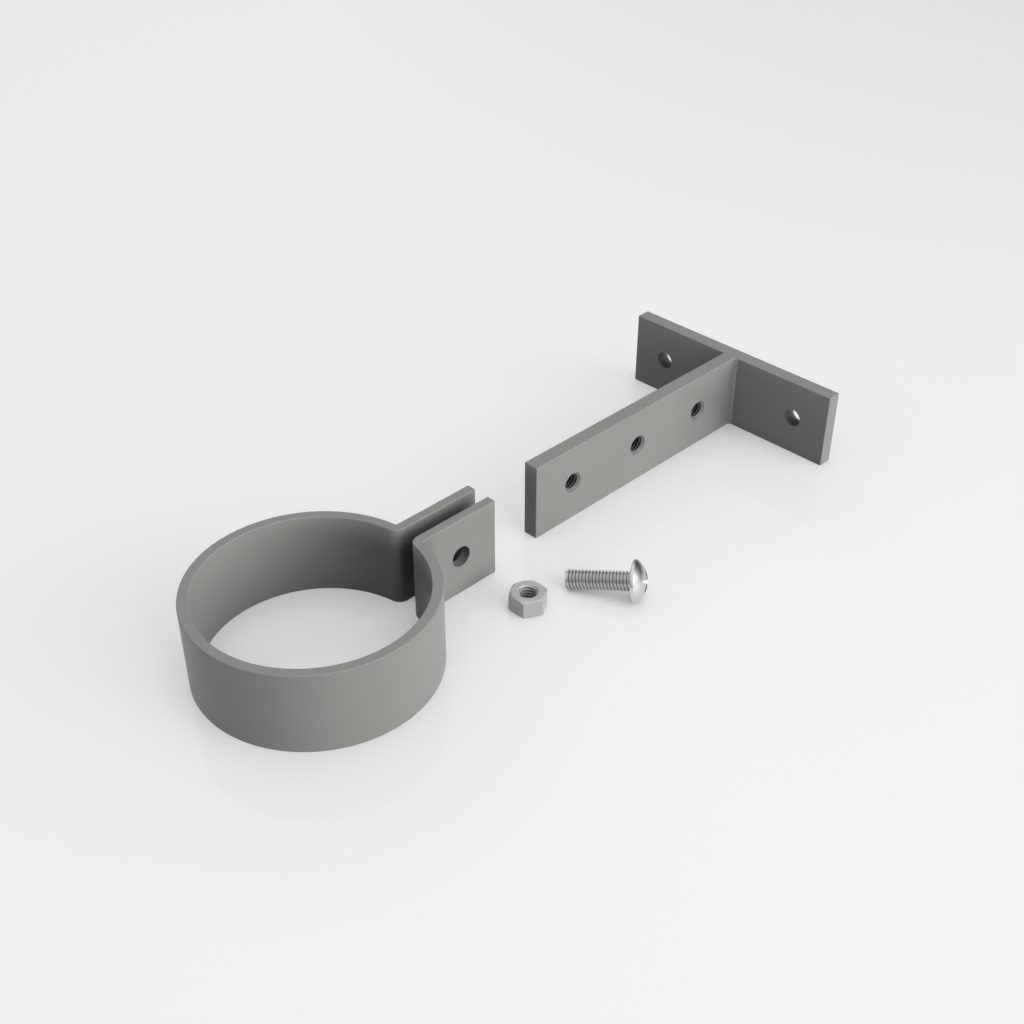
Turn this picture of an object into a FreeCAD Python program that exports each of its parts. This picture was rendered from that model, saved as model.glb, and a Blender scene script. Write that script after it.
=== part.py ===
"""Pipe clip with a stand-off bracket, taken apart and laid out on the bench.

An open ring of flat bar goes round the pipe. Its two ears straddle the stem of a T-shaped
bracket. One screw goes through both ears and any one of the stem's tapped holes, and the nut
locks it.

Millimetres, +Z up. The origin is on the ring's axis at bench level, and +X points from the
ring along the stem to the wall.
"""
import FreeCAD, Part
import math
import os

Vector = FreeCAD.Vector

# Flat bar that the ring and the bracket are made of
bar_height = 25.4
edge_radius = 0.3

# Clip ring
ring_bore = 63.0
band_thickness = 3.0
fold_radius = 0.5
ear_length = 27.0
ear_hole_from_end = 13.5

# Stand-off bracket
stem_thickness = 5.0
stem_length = 94.5
stem_hole_count = 3
stem_hole_pitch = 30.0
stem_hole_from_end = 16.0
stem_hole_mouth = 7.0
plate_thickness = 5.0
plate_width = 80.0
wall_hole_diameter = 6.0
wall_hole_spacing = 54.0
weld_leg = 1.0
weld_crown = 0.1

# Domed machine screw with a metric thread
thread_diameter = 6.0
thread_pitch = 1.0
thread_depth_per_pitch = 0.6134
screw_length = 20.0
head_diameter = 12.5
head_height = 3.8
head_rim = 0.85
head_edge_radius = 0.25
recess_diameter = 7.2
recess_floor = 2.4
recess_depth = 2.4
recess_wing = 1.4
recess_turn = 50.0

# Hexagon nut
nut_across_flats = 10.0
nut_height = 5.5
nut_chamfer_angle = 30.0
nut_face_diameter = 9.5

# Clearances: the stem between the ears, and the screw in the ears' holes
ear_clearance = 0.1
ear_hole_clearance = 0.6

# How far a drill runs past the faces it goes through
drill_run = 1.0

# Lay-out on the bench
stem_from_ears = 20.0
screw_tip_from_ear_end = 9.4
screw_tip_from_ear_face = 19.5
screw_yaw = -60.0
nut_from_ear_end = 4.8
nut_from_ear_face = 18.0
nut_turn = 31.5

# Sizes that follow from the driving dimensions
ring_inner = ring_bore / 2
ring_outer = ring_inner + band_thickness
ear_gap = stem_thickness + ear_clearance
ear_inner_face = ear_gap / 2
ear_outer_face = ear_inner_face + band_thickness
ear_end = ring_outer + ear_length
ear_hole_radius = (thread_diameter + ear_hole_clearance) / 2
thread_depth = thread_depth_per_pitch * thread_pitch
thread_core = thread_diameter / 2 - thread_depth
stem_start = ear_end + stem_from_ears
plate_front = stem_start + stem_length
mid_height = bar_height / 2


def polar(centre, radius, angle):
    """Point at an angle in degrees on a circle that lies flat."""
    turn = math.radians(angle)
    return centre + Vector(radius * math.cos(turn), radius * math.sin(turn), 0)


def arc(centre, radius, start, end):
    """Flat arc from one angle to another, in degrees."""
    first, middle, last = [polar(centre, radius, angle) for angle in (start, (start + end) / 2, end)]
    return Part.Arc(first, middle, last).toShape()


def line(start, end):
    """Straight edge between two points."""
    return Part.LineSegment(start, end).toShape()


def is_flat_edge(edge):
    """True for an edge that lies in one level plane."""
    return edge.BoundBox.ZLength < edge_radius


def upright_edges_at(shape, places):
    """Upright edges of a shape that stand at the given points of the plan."""
    found = []
    for edge in shape.Edges:
        centre = edge.CenterOfMass
        for place in places:
            if not is_flat_edge(edge) and math.hypot(centre.x - place.x, centre.y - place.y) < edge_radius:
                found.append(edge)
    return found


def turned(profile):
    """Solid of revolution about +Z, from the points (radius, height) of its closed outline."""
    outline = [Vector(radius, 0, height) for radius, height in profile + profile[:1]]
    return Part.Face(Part.makePolygon(outline)).revolve(Vector(0, 0, 0), Vector(0, 0, 1), 360)


def tapped_bore(length, mouth_diameter):
    """Tool along +Z for a tapped hole: the thread's core, countersunk at both mouths."""
    mouth_radius = mouth_diameter / 2
    sink = mouth_radius - thread_core
    return turned([
        (0, 0),
        (mouth_radius, 0),
        (thread_core, sink),
        (thread_core, length - sink),
        (mouth_radius, length),
        (0, length),
    ])


def clip_ring():
    """One band of constant thickness: a ring, two folds and two ears, with a hole through the ears."""
    fold_outer = fold_radius + band_thickness
    fold_y = ear_outer_face + fold_radius
    fold_x = math.sqrt((ring_outer + fold_radius) ** 2 - fold_y ** 2)
    fold_angle = math.degrees(math.atan2(fold_y, fold_x))
    origin = Vector(0, 0, 0)
    left_fold = Vector(fold_x, fold_y, 0)
    right_fold = Vector(fold_x, -fold_y, 0)
    left_tip = [Vector(ear_end, ear_outer_face, 0), Vector(ear_end, ear_inner_face, 0)]
    right_tip = [Vector(ear_end, -ear_inner_face, 0), Vector(ear_end, -ear_outer_face, 0)]
    outline = Part.Wire([
        arc(origin, ring_outer, 360 - fold_angle, fold_angle),
        arc(left_fold, fold_radius, 180 + fold_angle, 270),
        line(Vector(fold_x, ear_outer_face, 0), left_tip[0]),
        line(left_tip[0], left_tip[1]),
        line(left_tip[1], Vector(fold_x, ear_inner_face, 0)),
        arc(left_fold, fold_outer, 270, 180 + fold_angle),
        arc(origin, ring_inner, fold_angle, 360 - fold_angle),
        arc(right_fold, fold_outer, 180 - fold_angle, 90),
        line(Vector(fold_x, -ear_inner_face, 0), right_tip[0]),
        line(right_tip[0], right_tip[1]),
        line(right_tip[1], Vector(fold_x, -ear_outer_face, 0)),
        arc(right_fold, fold_radius, 90, 180 - fold_angle),
    ])
    band = Part.Face(outline).extrude(Vector(0, 0, bar_height))
    rounded = [edge for edge in band.Edges if is_flat_edge(edge)]
    rounded += upright_edges_at(band, left_tip + right_tip)
    band = band.makeFillet(edge_radius, rounded)
    drilled_from = ear_outer_face + drill_run
    hole_start = Vector(ear_end - ear_hole_from_end, -drilled_from, mid_height)
    return band.cut(Part.makeCylinder(ear_hole_radius, 2 * drilled_from, hole_start, Vector(0, 1, 0)))


def bracket():
    """Stem and wall plate: their edges are broken together, so that the joined tops run flush."""
    stem = Part.makeBox(stem_length, stem_thickness, bar_height, Vector(stem_start, -stem_thickness / 2, 0))
    plate = Part.makeBox(plate_thickness, plate_width, bar_height, Vector(plate_front, -plate_width / 2, 0))
    tee = stem.fuse(plate).removeSplitter()
    inner_corners = [Vector(plate_front, side * stem_thickness / 2, 0) for side in (-1, 1)]
    kept_sharp = upright_edges_at(tee, inner_corners)
    rounded = [edge for edge in tee.Edges if not any(edge.isSame(sharp) for sharp in kept_sharp)]
    tee = tee.makeFillet(edge_radius, rounded)
    return tee.cut(plate), tee.common(plate)


def stem_bar(bar):
    """Taps the stem's row of screw holes."""
    for index in range(stem_hole_count):
        hole_x = stem_start + stem_hole_from_end + index * stem_hole_pitch
        hole = tapped_bore(stem_thickness, stem_hole_mouth)
        hole.rotate(Vector(0, 0, 0), Vector(1, 0, 0), 90)
        hole.translate(Vector(hole_x, stem_thickness / 2, mid_height))
        bar = bar.cut(hole)
    return bar


def wall_plate(bar):
    """Drills the plate's two wall holes."""
    drilled = plate_thickness + 2 * drill_run
    for side in (-1, 1):
        hole_start = Vector(plate_front - drill_run, side * wall_hole_spacing / 2, mid_height)
        bar = bar.cut(Part.makeCylinder(wall_hole_diameter / 2, drilled, hole_start, Vector(1, 0, 0)))
    return bar


def weld_bead():
    """Fillet weld in the bracket's right inner corner, with a slightly crowned face."""
    root = Vector(plate_front, -stem_thickness / 2, edge_radius)
    on_stem = root + Vector(-weld_leg, 0, 0)
    on_plate = root + Vector(0, -weld_leg, 0)
    outward = Vector(-1, -1, 0).normalize()
    crown = (on_stem + on_plate) / 2 + outward * weld_crown
    face = Part.Arc(on_stem, crown, on_plate).toShape()
    section = Part.Face(Part.Wire([line(root, on_stem), face, line(on_plate, root)]))
    return section.extrude(Vector(0, 0, bar_height - 2 * edge_radius))


def cross_recess():
    """Cross-shaped driver recess for a screw along +X, tapering from the crown to its floor."""
    top = screw_length + head_height
    floor = top - recess_depth
    flank = Part.makePolygon([
        Vector(floor, 0, -recess_floor / 2),
        Vector(top, 0, -recess_diameter / 2),
        Vector(top, 0, recess_diameter / 2),
        Vector(floor, 0, recess_floor / 2),
        Vector(floor, 0, -recess_floor / 2),
    ])
    wing = Part.Face(flank).extrude(Vector(0, recess_wing, 0))
    wing.translate(Vector(0, -recess_wing / 2, 0))
    across = wing.copy()
    across.rotate(Vector(0, 0, 0), Vector(1, 0, 0), 90)
    recess = wing.fuse(across)
    recess.rotate(Vector(0, 0, 0), Vector(1, 0, 0), recess_turn)
    return recess


def clamp_screw():
    """Domed screw along +X, then laid down on its thread's end and its head's rim."""
    radius = thread_diameter / 2
    head_radius = head_diameter / 2
    rim_rounding = min(head_edge_radius, head_rim / 3)
    rim_top = screw_length + head_rim
    top = screw_length + head_height
    dome = head_height - head_rim
    dome_radius = (head_radius ** 2 + dome ** 2) / (2 * dome)
    half_way = math.asin(head_radius / dome_radius) / 2
    half_way_drop = dome_radius * (1 - math.cos(half_way))
    dome_middle = Vector(top - half_way_drop, 0, dome_radius * math.sin(half_way))
    tip = Vector(0, 0, 0)
    tip_rim = Vector(0, 0, thread_core)
    chamfer_top = Vector(thread_depth, 0, radius)
    under_head = Vector(screw_length, 0, radius)
    head_edge = Vector(screw_length, 0, head_radius)
    dome_edge = Vector(rim_top, 0, head_radius)
    dome_top = Vector(top, 0, 0)
    profile = Part.Wire([
        line(tip, tip_rim),
        line(tip_rim, chamfer_top),
        line(chamfer_top, under_head),
        line(under_head, head_edge),
        line(head_edge, dome_edge),
        Part.Arc(dome_edge, dome_middle, dome_top).toShape(),
        line(dome_top, tip),
    ])
    screw = Part.Face(profile).revolve(tip, Vector(1, 0, 0), 360)
    rim_length = math.pi * head_diameter
    rim_circles = [edge for edge in screw.Edges if abs(edge.Length - rim_length) < rim_rounding]
    screw = screw.makeFillet(rim_rounding, rim_circles).cut(cross_recess())
    rim_start = screw_length + rim_rounding
    tilt = math.atan2(head_radius - radius, rim_start - thread_depth)
    tip_x = ear_end + screw_tip_from_ear_end
    tip_y = -ear_outer_face - screw_tip_from_ear_face
    tip_height = radius * math.cos(tilt) - thread_depth * math.sin(tilt)
    screw.rotate(tip, Vector(0, 1, 0), -math.degrees(tilt))
    screw.rotate(tip, Vector(0, 0, 1), screw_yaw)
    screw.translate(Vector(tip_x, tip_y, tip_height))
    return screw


def hex_nut():
    """Hexagon nut with both faces chamfered and the thread's mouths countersunk."""
    corner_radius = nut_across_flats / math.sqrt(3)
    face_radius = nut_face_diameter / 2
    chamfer = (corner_radius - face_radius) * math.tan(math.radians(nut_chamfer_angle))
    turns = [nut_turn + 60 * side for side in range(7)]
    corners = [polar(Vector(0, 0, 0), corner_radius, turn) for turn in turns]
    prism = Part.Face(Part.makePolygon(corners)).extrude(Vector(0, 0, nut_height))
    blank = turned([
        (0, 0),
        (face_radius, 0),
        (corner_radius, chamfer),
        (corner_radius, nut_height - chamfer),
        (face_radius, nut_height),
        (0, nut_height),
    ])
    nut = prism.common(blank).cut(tapped_bore(nut_height, thread_diameter))
    nut.translate(Vector(ear_end - nut_from_ear_end, -ear_outer_face - nut_from_ear_face, 0))
    return nut


stem_blank, plate_blank = bracket()
pieces = {
    "clip_ring": clip_ring(),
    "stem_bar": stem_bar(stem_blank),
    "wall_plate": wall_plate(plate_blank),
    "weld_bead": weld_bead(),
    "clamp_screw": clamp_screw(),
    "hex_nut": hex_nut(),
}

os.makedirs("parts", exist_ok=True)
for name, shape in pieces.items():
    shape.exportStep("parts/" + name + ".step")
    print(name, "solids", len(shape.Solids), "volume", round(shape.Volume, 1), "valid", shape.isValid())
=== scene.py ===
# %% [markdown]
# # A pipe clip, taken apart on a pale floor
# The clip is an open ring of flat bar, a T-shaped wall bracket, and the screw and nut that join them.
# The ring, the wall plate and the weld keep their CAD solids and get a finish here. The screw, the nut
# and the stem with its tapped holes are modelled again, because a thread is too fine for the CAD model.

# %% Load the CAD frame
import math

import bmesh
import bpy
from mathutils import Matrix, Vector


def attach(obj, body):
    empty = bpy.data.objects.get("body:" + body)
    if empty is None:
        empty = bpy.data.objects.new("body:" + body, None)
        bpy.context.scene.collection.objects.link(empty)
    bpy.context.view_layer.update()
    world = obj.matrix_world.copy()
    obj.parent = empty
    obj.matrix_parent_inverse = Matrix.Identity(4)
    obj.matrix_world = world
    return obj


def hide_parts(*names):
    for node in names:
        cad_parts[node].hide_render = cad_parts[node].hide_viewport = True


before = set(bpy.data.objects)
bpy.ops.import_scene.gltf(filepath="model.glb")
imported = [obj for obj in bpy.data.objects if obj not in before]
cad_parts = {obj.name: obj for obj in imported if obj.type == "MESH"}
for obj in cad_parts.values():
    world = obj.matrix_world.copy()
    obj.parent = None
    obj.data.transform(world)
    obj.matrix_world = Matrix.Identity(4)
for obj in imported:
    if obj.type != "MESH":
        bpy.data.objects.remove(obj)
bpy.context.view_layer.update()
print("CAD nodes:", ", ".join(sorted(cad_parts)))

# %% [markdown]
# ## The camera
# It stands to the left of the ring and above it, and looks along the stem. A place, a direction and a
# focal length say all of it. The track quaternion turns the camera so that its own -Z axis, which is the
# way a Blender camera looks, runs along that direction.

# %% Camera
middle = Vector((0.07, 0, 0.0127))
eye = Vector((-0.16412, -0.23849, 0.25118))
yaw, pitch, roll = [math.radians(angle) for angle in (45.07, -35.32, 0.06)]
gaze = Vector((math.cos(yaw) * math.cos(pitch), math.sin(yaw) * math.cos(pitch), math.sin(pitch)))

camera = bpy.data.objects.new("camera", bpy.data.cameras.new("camera"))
camera.data.sensor_width = 36.0
camera.data.lens = 49.07
camera.data.clip_start = 0.01
turn = gaze.to_track_quat("-Z", "Y").to_matrix().to_4x4()
camera.matrix_world = Matrix.Translation(eye) @ turn @ Matrix.Rotation(roll, 4, "Z")
bpy.context.scene.collection.objects.link(camera)
bpy.context.scene.camera = camera
print("camera", round((eye - middle).length, 3), "m from the clip's middle")

# %% [markdown]
# ## Sums on sockets
# A finish is a tree of nodes, and most of its nodes are plain sums. This small class holds one socket
# and lets Python's own operators add the Math nodes, so that a sum reads like a sum. Every other node
# comes from its method node, which takes the node's type, its settings and its sockets.


# %% Sockets as numbers
class Wire:
    """One output socket of a node tree."""

    def __init__(self, tree, socket=None):
        self.tree = tree
        self.socket = socket

    def node(self, kind, settings=None, sockets=None, output=0):
        """An output of a new node, whose settings come first and then its values and links."""
        made = self.tree.nodes.new(kind)
        for name, value in (settings or {}).items():
            setattr(made, name, value)
        for name, value in (sockets or {}).items():
            if isinstance(value, Wire):
                self.tree.links.new(value.socket, made.inputs[name])
            else:
                made.inputs[name].default_value = value
        return Wire(self.tree, made.outputs[output])

    def sum(self, operation, first, second):
        return self.node("ShaderNodeMath", {"operation": operation}, {0: first, 1: second})

    def __add__(self, other):
        return self.sum("ADD", self, other)

    def __radd__(self, other):
        return self.sum("ADD", other, self)

    def __sub__(self, other):
        return self.sum("SUBTRACT", self, other)

    def __rsub__(self, other):
        return self.sum("SUBTRACT", other, self)

    def __mul__(self, other):
        return self.sum("MULTIPLY", self, other)

    def __rmul__(self, other):
        return self.sum("MULTIPLY", other, self)

    def between(self, least, most):
        """This value, kept from going below the least or above the most."""
        return self.sum("MINIMUM", self.sum("MAXIMUM", self, least), most)

    def tint(self, dark, pale):
        """A colour between two, with this socket as the share of the second."""
        ends = {"Factor": self, 6: (*dark, 1.0), 7: (*pale, 1.0)}
        return self.node("ShaderNodeMix", {"data_type": "RGBA"}, ends, 2)


print("sums on sockets: add, subtract and multiply, from either side")

# %% [markdown]
# ## What finishes are made of
# Each finish starts from the object's own coordinates, so that its pattern stays on the piece. Noise makes
# it uneven. Ambient occlusion, which measures how much of a point's view is blocked, finds its hollows, where
# the colour is darkened as painted shade.

# %% Helpers for finishes
black, gloss_drift = (0, 0, 0), 0.1


def new_finish(name):
    """A new material: itself, the object's own coordinates, and its shader."""
    material = bpy.data.materials.new(name)
    material.use_nodes = True
    start = Wire(material.node_tree)
    place = start.node("ShaderNodeTexCoord", output="Object")
    return material, place, material.node_tree.nodes["Principled BSDF"]


def noise(place, scale, detail):
    """Soft noise, with scale as the number of features in a metre."""
    sockets = {"Vector": place, "Scale": scale, "Detail": detail}
    return place.node("ShaderNodeTexNoise", {"noise_dimensions": "3D"}, sockets, "Fac")


def hollow_shade(place, reach, least):
    """Painted shade: one on open surfaces, and down to the least value in the tightest hollows."""
    settings = {"samples": 4, "only_local": True}
    clear = place.node("ShaderNodeAmbientOcclusion", settings, {"Distance": reach}, "AO")
    return clear * (1.0 - least) + least


def relief(height, strength, depth):
    """A bump from noise, with its depth in metres."""
    return height.node("ShaderNodeBump", None, {"Strength": strength, "Distance": depth, "Height": height})


def plug(shader, name, wire):
    """Links a socket that varies over the surface to one of the shader's inputs."""
    wire.tree.links.new(wire.socket, shader.inputs[name])


print("noise, openness and relief are ready")

# %% [markdown]
# ## Grey coat
# The ring and the bracket have a smooth grey coat with a satin sheen. A coat is never quite even: it
# is a little paler where it lies thicker, its gloss drifts, and close up it has the fine waves of
# dried paint. Three sizes of noise give those. In tapped holes and tight corners the colour is darkened
# as painted shade.

# %% Grey coat
coat_white, coat_grey, coat_roughness = (1, 1, 0.955), 0.24, 0.36
unevenness, drift_share = 0.05, 0.75
# the reach and the least value of the painted shade in the coat's hollows
coat_shade_reach, coat_shade_level = 0.006, -0.15  # under nought, so that the tightest hollows are quite black

coat, place, shader = new_finish("grey_coat")
drift = noise(place, 45.0, 2.0)
speckle = noise(place, 2600.0, 2.0)
waves = noise(place, 1100.0, 2.0)
mottle = drift * drift_share + speckle * (1 - drift_share)
# the colour is darkened in hollows: painted shade
level = (mottle * unevenness + coat_grey) * hollow_shade(place, coat_shade_reach, coat_shade_level)
plug(shader, "Base Color", level.tint(black, coat_white))
plug(shader, "Roughness", drift * gloss_drift + coat_roughness)
plug(shader, "Normal", relief(waves, 0.05, 0.0002))
shader.inputs["Specular IOR Level"].default_value = 0.25
for name in ("clip_ring", "wall_plate", "weld_bead"):
    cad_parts[name].data.materials.clear()
    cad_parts[name].data.materials.append(coat)
print("grey coat:", len(coat.node_tree.nodes), "nodes")

# %% [markdown]
# ## Bright plating
# Screw and nut are zinc plated. The screw is new and bright, so its head and threads mirror what stands
# round them. The nut's plating is duller: it scatters more of the light, so its faces differ mainly by how
# much light falls on them. Both have a fine grain, clouds where the gloss is a little weaker, and painted
# shade in the roots of the thread. One function makes both, because only the share of metal, the colour
# and the gloss differ.

# %% Bright plating
zinc_white, cloudiness = (1, 1, 0.985), 0.12
# the reach and the least value of the painted shade in the roots of the thread
root_shade_reach, root_shade_level = 0.0007, 0.4


def plating(name, level, metal, roughness):
    """A plated finish of one grey level, with the share of it that is bare bright metal."""
    finish, place, shader = new_finish(name)
    grain = noise(place, 1800.0, 3.0)
    cloud = noise(place, 260.0, 2.0)
    # the colour is darkened in the thread's roots and other hollows: painted shade
    shown = (cloud * cloudiness + level) * hollow_shade(place, root_shade_reach, root_shade_level)
    plug(shader, "Base Color", shown.tint(black, zinc_white))
    plug(shader, "Roughness", cloud * gloss_drift + roughness)
    plug(shader, "Normal", relief(grain, 0.08, 0.00005))
    shader.inputs["Metallic"].default_value = metal
    print(name, "has", len(finish.node_tree.nodes), "nodes")
    return finish


screw_plating = plating("screw_plating", 0.62, 1.0, 0.25)
nut_plating = plating("nut_plating", 0.42, 0.25, 0.34)

# %% [markdown]
# ## Solid pieces
# Pieces are modelled in millimetres round the X axis and scaled to metres at the end. A Boolean modifier
# is the workshop's drill, tap and file: it takes one closed solid off another, and the result is read
# back as a plain mesh. A lathe is a spin: a section goes once round the axis.

# %% Solids and cuts
along_x, at_origin = (1, 0, 0), (0, 0, 0)
seam = 1e-5


def solid(bm, name):
    """An object from a closed bmesh, with its doubles merged and its faces turned outwards."""
    bmesh.ops.remove_doubles(bm, verts=bm.verts, dist=seam)
    bmesh.ops.recalc_face_normals(bm, faces=bm.faces)
    mesh = bpy.data.meshes.new(name)
    bm.to_mesh(mesh)
    bm.free()
    made = bpy.data.objects.new(name, mesh)
    bpy.context.scene.collection.objects.link(made)
    return made


def cut(body, tool, operation):
    """The body after one Boolean with the tool, which is used up."""
    modifier = body.modifiers.new("cut", "BOOLEAN")
    modifier.operation = operation
    modifier.solver = "EXACT"
    modifier.object = tool
    bpy.context.view_layer.update()
    result = bpy.data.meshes.new_from_object(body.evaluated_get(bpy.context.evaluated_depsgraph_get()))
    body.modifiers.clear()
    body.data = result
    bpy.data.objects.remove(tool)
    return body


def polyline(bm, points):
    """Edges through a few points of a section, given as (place along X, distance from it)."""
    corners = [bm.verts.new((along, 0.0, out)) for along, out in points]
    return corners + [bm.edges.new(pair) for pair in zip(corners, corners[1:])]


def lathe(bm, section, steps=96):
    """Spins a section once round the X axis."""
    bmesh.ops.spin(bm, geom=section, axis=along_x, cent=at_origin, angle=math.tau, steps=steps, use_merge=True)


def round_over(bm, edges, width, segments):
    """Breaks edges with a small round."""
    bmesh.ops.bevel(bm, geom=edges, offset=width, offset_type="OFFSET", affect="EDGES", segments=segments,
                    profile=0.5, material=-1)


print("lathe, cut and round_over work in millimetres")

# %% [markdown]
# ## Setting a piece down
# A Boolean leaves slivers where two cuts nearly meet, so those are merged first. Faces square to the piece's
# own axes are shaded flat, because a long flat face that shares its shading with a small round looks
# wrinkled. Edges sharper than the crease stay crisp. The placing goes into the mesh, so that the object itself
# stays at the origin, as the CAD nodes do.

# %% Setting down
MM = 0.001
sliver = 0.003
crease = math.radians(32)
square_on = 0.9999


def finished(piece, placing, material, node):
    """Puts a piece in place, with flat sides, crisp edges and its finish, to stand for its CAD node."""
    bm = bmesh.new()
    bm.from_mesh(piece.data)
    bmesh.ops.remove_doubles(bm, verts=bm.verts, dist=sliver)
    bmesh.ops.dissolve_degenerate(bm, edges=bm.edges, dist=sliver)
    bmesh.ops.triangulate(bm, faces=[face for face in bm.faces if len(face.verts) > 4])
    bmesh.ops.dissolve_degenerate(bm, edges=bm.edges, dist=sliver)
    bm.normal_update()
    for face in bm.faces:
        face.smooth = max(abs(part) for part in face.normal) < square_on
    bmesh.ops.transform(bm, matrix=placing @ Matrix.Scale(MM, 4), verts=bm.verts)
    for edge in bm.edges:
        edge.smooth = edge.is_manifold and edge.calc_face_angle() < crease
    bm.to_mesh(piece.data)
    bm.free()
    piece.data.materials.clear()
    piece.data.materials.append(material)
    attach(piece, "root")
    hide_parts(node)
    print(piece.name, "has", len(piece.data.polygons), "faces")


print("slivers under", sliver, "mm are merged")

# %% [markdown]
# ## The thread
# A thread is one tooth of a section, swept along a helix. Blender's spin does that when each step also
# moves a little along the axis: after one turn the tooth has moved by one pitch, and its start meets the
# end of the turn before, so merging the doubles closes the seam. The two ends are then cut square and
# capped.

# %% Thread
thread_radius, thread_pitch, depth_share = 3.0, 1.0, 0.6134
thread_core = thread_radius - depth_share * thread_pitch
thread_steps, lead_in, spare_turns = 48, 1.5, 2
helix_seam, cut_width = 1e-4, 1e-6
tooth_shares = ((0, thread_core), (0.125, thread_core), (0.4375, thread_radius),
                (0.5625, thread_radius), (0.875, thread_core), (1, thread_core))


def threaded_rod(name, start, end):
    """A rod with a right-hand thread from start to end along X."""
    bm = bmesh.new()
    first = start - lead_in * thread_pitch
    tooth = polyline(bm, [(first + share * thread_pitch, out) for share, out in tooth_shares])
    turns = math.ceil((end - start) / thread_pitch) + spare_turns
    step = Vector((thread_pitch / thread_steps, 0, 0))
    bmesh.ops.spin(bm, geom=tooth, axis=along_x, cent=at_origin, dvec=step, angle=math.tau * turns,
                   steps=thread_steps * turns, use_merge=False)
    bmesh.ops.remove_doubles(bm, verts=bm.verts, dist=helix_seam)
    for place, side in ((start, -1), (end, 1)):
        bmesh.ops.bisect_plane(bm, geom=bm.verts[:] + bm.edges[:] + bm.faces[:], dist=cut_width,
                               plane_co=(place, 0, 0), plane_no=(side, 0, 0), clear_outer=True)
        rim = [edge for edge in bm.edges
               if edge.is_boundary and abs(edge.verts[0].co.x - place) < helix_seam]
        bmesh.ops.holes_fill(bm, edges=rim, sides=0)
    return solid(bm, name)


print("one turn of thread moves", thread_pitch, "mm, and is", round(thread_radius - thread_core, 3), "mm deep")

# %% [markdown]
# ## Taps and tips
# A screw's tip is narrowed to a cone so that the nut starts easily, and a tapped hole is widened to one at
# each mouth for the same reason. Both are made on the rod, by moving its vertices straight in or out.

# %% Tap
tap_overrun = 1.0


def resize_round(vert, at_least=0.0, at_most=math.inf):
    """Moves a vertex straight out from the X axis, or in, to keep it between two radii."""
    out = math.hypot(vert.co.y, vert.co.z)
    kept = min(max(out, at_least), at_most)
    vert.co.y *= kept / out
    vert.co.z *= kept / out


def tap(name, length, mouth):
    """A tap for a hole from 0 to length along X, widened to a cone at both mouths."""
    tool = threaded_rod(name, -tap_overrun, length + tap_overrun)
    for vert in tool.data.vertices:
        resize_round(vert, at_least=mouth - min(vert.co.x, length - vert.co.x))
    return tool


print("a tap runs", tap_overrun, "mm past each end of its hole")

# %% [markdown]
# ## The screw's head
# A machine screw with a domed head. The head is turned from a section whose dome is itself an arc, made by
# spinning one vertex about the dome's centre. The arc's radius follows from the dome's width and height.

# %% Screw head
screw_length, head_radius, head_height, head_rim, rim_round = 20.0, 6.25, 3.8, 0.85, 0.25
dome_steps, near = 20, 1e-3
crown = screw_length + head_height
dome_height = head_height - head_rim
dome_radius = (head_radius ** 2 + dome_height ** 2) / (2 * dome_height)
dome_angle = math.asin(head_radius / dome_radius)

bm = bmesh.new()
apex = bm.verts.new((crown, 0, 0))
arc = bmesh.ops.spin(bm, geom=[apex], axis=(0, 1, 0), cent=(crown - dome_radius, 0, 0), angle=-dome_angle,
                     steps=dome_steps, use_merge=False)
rim_top = [item for item in arc["geom_last"] if isinstance(item, bmesh.types.BMVert)][0]
under_rim = bm.verts.new((screw_length, 0, head_radius))
under_middle = bm.verts.new((screw_length, 0, 0))
bm.edges.new((rim_top, under_rim))
bm.edges.new((under_rim, under_middle))
lathe(bm, bm.verts[:] + bm.edges[:])
bmesh.ops.remove_doubles(bm, verts=bm.verts, dist=seam)
rims = [edge for edge in bm.edges
        if all(abs(math.hypot(vert.co.y, vert.co.z) - head_radius) < near for vert in edge.verts)
        and abs(edge.verts[0].co.x - edge.verts[1].co.x) < near]
round_over(bm, rims, rim_round, 4)
screw = solid(bm, "screw")
print("dome radius", round(dome_radius, 3), "mm")

# %% [markdown]
# ## The cross recess
# The driver's cross is two wings that taper towards their floor. Each is a cube with its corners moved, they
# are joined, and the cross is cut into the dome. It starts a little above the dome, so that the cut is clean.

# %% Cross recess
recess_depth, recess_floor, recess_wing, recess_turn = 2.4, 2.4, 1.4, 50.0
recess_top = 0.6


def recess_wing_tool(name, angle):
    """One tapered wing of the recess, which reaches a little above the dome."""
    bm = bmesh.new()
    bmesh.ops.create_cube(bm, size=1.0)
    for vert in bm.verts:
        at_top = vert.co.x > 0
        level = crown + recess_top if at_top else crown - recess_depth
        reach = recess_floor / 2 + (recess_depth + recess_top if at_top else 0)
        vert.co = Vector((level, math.copysign(recess_wing / 2, vert.co.y), math.copysign(reach, vert.co.z)))
    turn = Matrix.Rotation(math.radians(angle), 3, "X")
    bmesh.ops.rotate(bm, cent=at_origin, matrix=turn, verts=bm.verts)
    return solid(bm, name)


cross = cut(recess_wing_tool("wing", recess_turn), recess_wing_tool("wing_across", recess_turn + 90), "UNION")
cut(screw, cross, "DIFFERENCE")
print("head with recess:", len(screw.data.polygons), "faces")

# %% [markdown]
# ## The whole screw
# It is threaded right up to the head, so the rod runs a little into it. Lying on the floor, it rests on
# the head's rim and on the thread's first full turn, and that gives its tilt.

# %% Screw thread, and the screw laid down
rod_overlap = 0.3
screw_spot, screw_bearing = (0.0709, -0.02505), math.radians(-60.0)
rod = threaded_rod("rod", 0.0, screw_length + rod_overlap)
for vert in rod.data.vertices:
    resize_round(vert, at_most=thread_core + vert.co.x)
cut(screw, rod, "UNION")

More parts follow.
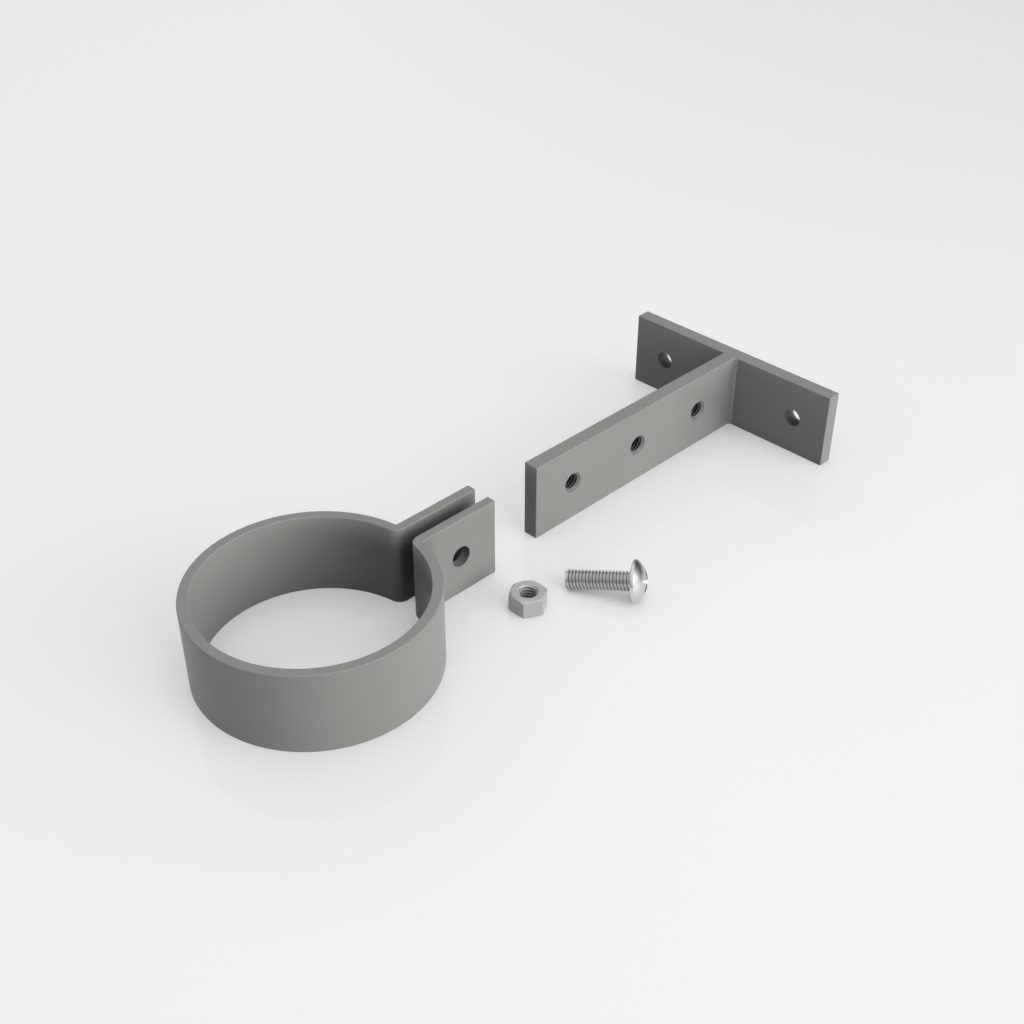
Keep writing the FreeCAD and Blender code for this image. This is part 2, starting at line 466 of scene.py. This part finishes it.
chamfer = thread_radius - thread_core
tilt = math.atan2(head_radius - thread_radius, screw_length + rim_round - chamfer)
tip_height = MM * (thread_radius * math.cos(tilt) - chamfer * math.sin(tilt))
laid = (Matrix.Translation((*screw_spot, tip_height)) @ Matrix.Rotation(screw_bearing, 4, "Z")
        @ Matrix.Rotation(-tilt, 4, "Y"))
finished(screw, laid, screw_plating, "clamp_screw")

# %% [markdown]
# ## The nut
# A hexagon bar, cut off and turned on both faces, so that the corners are chamfered by a cone. The hexagon
# and the turned blank are intersected, and the hole is then tapped: the same threaded rod is taken away.
# The tap is widened to a cone at each face, which opens the thread's mouths.

# %% Nut
nut_flats, nut_height, nut_face, nut_mouth, nut_round = 10.0, 5.5, 9.5, 3.05, 0.12
nut_spot, nut_bearing = (0.0567, -0.02355), math.radians(1.5)
blank_margin, blank_slope, hexagon_spare = 0.3, math.tan(math.radians(30.0)), 1.0
quarter_turn = math.radians(90)
nut_corner = nut_flats / math.sqrt(3)
blank_radius = nut_corner + blank_margin
blank_chamfer = (blank_radius - nut_face / 2) * blank_slope

bm = bmesh.new()
bmesh.ops.create_cone(bm, cap_ends=True, segments=6, radius1=nut_corner, radius2=nut_corner,
                      depth=nut_height + hexagon_spare)
uprights = [edge for edge in bm.edges if abs(edge.verts[0].co.z - edge.verts[1].co.z) > nut_height / 2]
round_over(bm, uprights, nut_round, 3)
bmesh.ops.translate(bm, vec=(0, 0, nut_height / 2), verts=bm.verts)
bmesh.ops.rotate(bm, cent=at_origin, matrix=Matrix.Rotation(quarter_turn, 3, "Y"), verts=bm.verts)
nut = solid(bm, "nut")

bm = bmesh.new()
lathe(bm, polyline(bm, [(0, 0), (0, nut_face / 2), (blank_chamfer, blank_radius),
                        (nut_height - blank_chamfer, blank_radius), (nut_height, nut_face / 2), (nut_height, 0)]))
cut(nut, solid(bm, "blank"), "INTERSECT")
cut(nut, tap("nut_tap", nut_height, nut_mouth), "DIFFERENCE")
stood = (Matrix.Translation((*nut_spot, 0)) @ Matrix.Rotation(nut_bearing, 4, "Z")
         @ Matrix.Rotation(-quarter_turn, 4, "Y"))
finished(nut, stood, nut_plating, "hex_nut")

# %% [markdown]
# ## The stem
# A flat bar with a row of tapped holes, one for each distance from the wall. The bar is a box whose edges
# are broken, apart from the end that is welded to the plate. Each hole is cut by one tap, which is widened
# at its mouths as the nut's is, so thread and countersink come in one cut.

# %% Stem
stem_start, stem_end, stem_thick, bar_height, bar_round = 81.5, 176.0, 5.0, 25.4, 0.3
first_hole, hole_pitch, hole_count, hole_mouth = 97.5, 30.0, 3, 3.5

bm = bmesh.new()
bmesh.ops.create_cube(bm, size=1.0)
bmesh.ops.translate(bm, vec=(0.5, 0, 0.5), verts=bm.verts)
bmesh.ops.scale(bm, vec=(stem_end - stem_start, stem_thick, bar_height), verts=bm.verts)
bmesh.ops.translate(bm, vec=(stem_start, 0, 0), verts=bm.verts)
broken = [edge for edge in bm.edges if min(vert.co.x for vert in edge.verts) < stem_end - near]
round_over(bm, broken, bar_round, 4)
stem = solid(bm, "stem")
for number in range(hole_count):
    tool = tap("stem_tap", stem_thick, hole_mouth)
    spot = Matrix.Translation((first_hole + number * hole_pitch, stem_thick / 2, bar_height / 2))
    tool.data.transform(spot @ Matrix.Rotation(-quarter_turn, 4, "Z"))
    cut(stem, tool, "DIFFERENCE")
finished(stem, Matrix.Identity(4), coat, "stem_bar")

# %% [markdown]
# ## The floor
# A wide pale floor with a faint gloss, as in a product picture. Most of its paleness is a glow that only
# the camera and the reflections see, so that the shadows on it stay weak and it throws little light back
# on the clip. Light Path tells the material which kind of ray is asking. Close to a piece the glow is
# dimmed by ambient occlusion: slowly at first, and quickly right beside the piece.

# %% Floor
floor_reach, shade_reach = 4.0, 0.06
floor_glow = (0.604, 0.604, 0.599)
lit_floor, hidden_floor = (0.277, 0.277, 0.275), (0.18, 0.18, 0.18)


def ray(start, kind):
    """One where the ray that asks is of this kind, and nought for the rest."""
    return start.node("ShaderNodeLightPath", output="Is " + kind + " Ray")


bm = bmesh.new()
bmesh.ops.create_grid(bm, x_segments=1, y_segments=1, size=floor_reach)
floor = solid(bm, "floor")

paper, place, shader = new_finish("pale_floor")
seen = ray(place, "Camera") + ray(place, "Glossy") + ray(place, "Transmission")
clear = place.node("ShaderNodeAmbientOcclusion", {"samples": 6}, {"Distance": shade_reach}, "AO")
dim_around, dim_beside = clear * 0.4 + 0.6, clear * 1.5 + 0.1
glow = seen * place.sum("MINIMUM", dim_around, dim_beside)
plug(shader, "Base Color", seen.tint(hidden_floor, lit_floor))
plug(shader, "Emission Color", glow.tint(black, floor_glow))
shader.inputs["Emission Strength"].default_value = 1.0
shader.inputs["Roughness"].default_value = 0.1
shader.inputs["Specular IOR Level"].default_value = 0.4
paper.cycles.emission_sampling = "NONE"
floor.data.materials.append(paper)
print("floor", floor.dimensions.x, "m wide")

# %% [markdown]
# ## Lamps
# A tall soft lamp in front and a lower one on the right make the faces that look that way pale and leave
# those that look left dark. One overhead lights the upper edges, and a flat one just above the floor on
# the left lifts the outer faces there without shining into the ring. Each lamp is given by its bearing,
# its height above the floor as an angle, its width and height, and its power. Reflections don't show the
# lamps, which would stand in the floor as hard white patches.

# %% Lamps
lamp_distance = 1.2
lamps = {
    "front": (272, 28, 0.8, 1.2, 10.9),
    "right": (298, 16, 0.9, 0.6, 8.4),
    "left": (184, 4, 1.2, 0.12, 3.5),
    "top": (45, 88, 0.8, 0.8, 5.2),
}
for name, (bearing, rise, wide, tall, watts) in lamps.items():
    lamp = bpy.data.objects.new("lamp_" + name, bpy.data.lights.new("lamp_" + name, "AREA"))
    lamp.data.shape = "RECTANGLE"
    lamp.data.size = wide
    lamp.data.size_y = tall
    lamp.data.energy = watts
    lamp.visible_glossy = False
    turn = Matrix.Rotation(math.radians(bearing), 3, "Z") @ Matrix.Rotation(math.radians(-rise), 3, "Y")
    out = turn @ Vector((lamp_distance, 0, 0))
    lamp.location = middle + out
    lamp.rotation_euler = (-out).to_track_quat("-Z", "Y").to_euler()
    bpy.context.scene.collection.objects.link(lamp)
print("lamps:", ", ".join(lamps))

# %% [markdown]
# ## Surroundings
# The world has three parts, by the kind of ray that asks. The camera sees an even pale backdrop. Reflections
# see a sky that is darker at the horizon, with a soft window in front and a black card on the right, which
# give bright metal its contrast. All other rays find a soft weak light from behind, so that the far side of
# the clip isn't black. A dot product of two directions says how nearly they agree, and places window and
# light. A Mix node takes a share of at most one, so the sum is divided by the brightest value that it reaches.

# %% Surroundings
window_way, fill_way = (0.254, -0.885, 0.391), (0.26, 0.97, 0.0)
backdrop, window_glow, fill_glow, least_glow, brightest = 0.8, 1.05, 1.4, 0.02, 2.0
fill_focus = 4.0

world = bpy.data.worlds.new("surroundings")
bpy.context.scene.world = world
world.use_nodes = True
start = Wire(world.node_tree)
direction = start.node("ShaderNodeTexCoord", output="Generated")
across, height = [start.node("ShaderNodeSeparateXYZ", None, {"Vector": direction}, axis) for axis in "XZ"]


def towards(way):
    """How nearly a ray runs this way: one along it, and minus one against it."""
    return start.node("ShaderNodeVectorMath", {"operation": "DOT_PRODUCT"}, {0: direction, 1: way}, "Value")


card = (2.7 - across * 2.9).between(0.0, 1.0)
high_sky, low_sky = height * 0.7 + 0.3, height * 1.3 + 0.16
paleness = start.sum("MINIMUM", high_sky, low_sky) * card
window = (towards(window_way) * 7.0 - 5.8).between(0.0, 1.0)
behind = start.sum("POWER", start.sum("MAXIMUM", towards(fill_way), 0.0), fill_focus)
camera_ray = ray(start, "Camera")
mirrored = ray(start, "Glossy") + ray(start, "Transmission")
sky = (camera_ray * backdrop + mirrored * (paleness + window * window_glow)
       + (1 - camera_ray - mirrored) * behind * fill_glow + least_glow)
sky_colour = (sky * (1 / brightest)).tint(black, (brightest, brightest, brightest))
plug(world.node_tree.nodes["Background"], "Color", sky_colour)
bpy.context.scene.view_settings.view_transform = "Standard"
print("surroundings:", len(world.node_tree.nodes), "nodes")
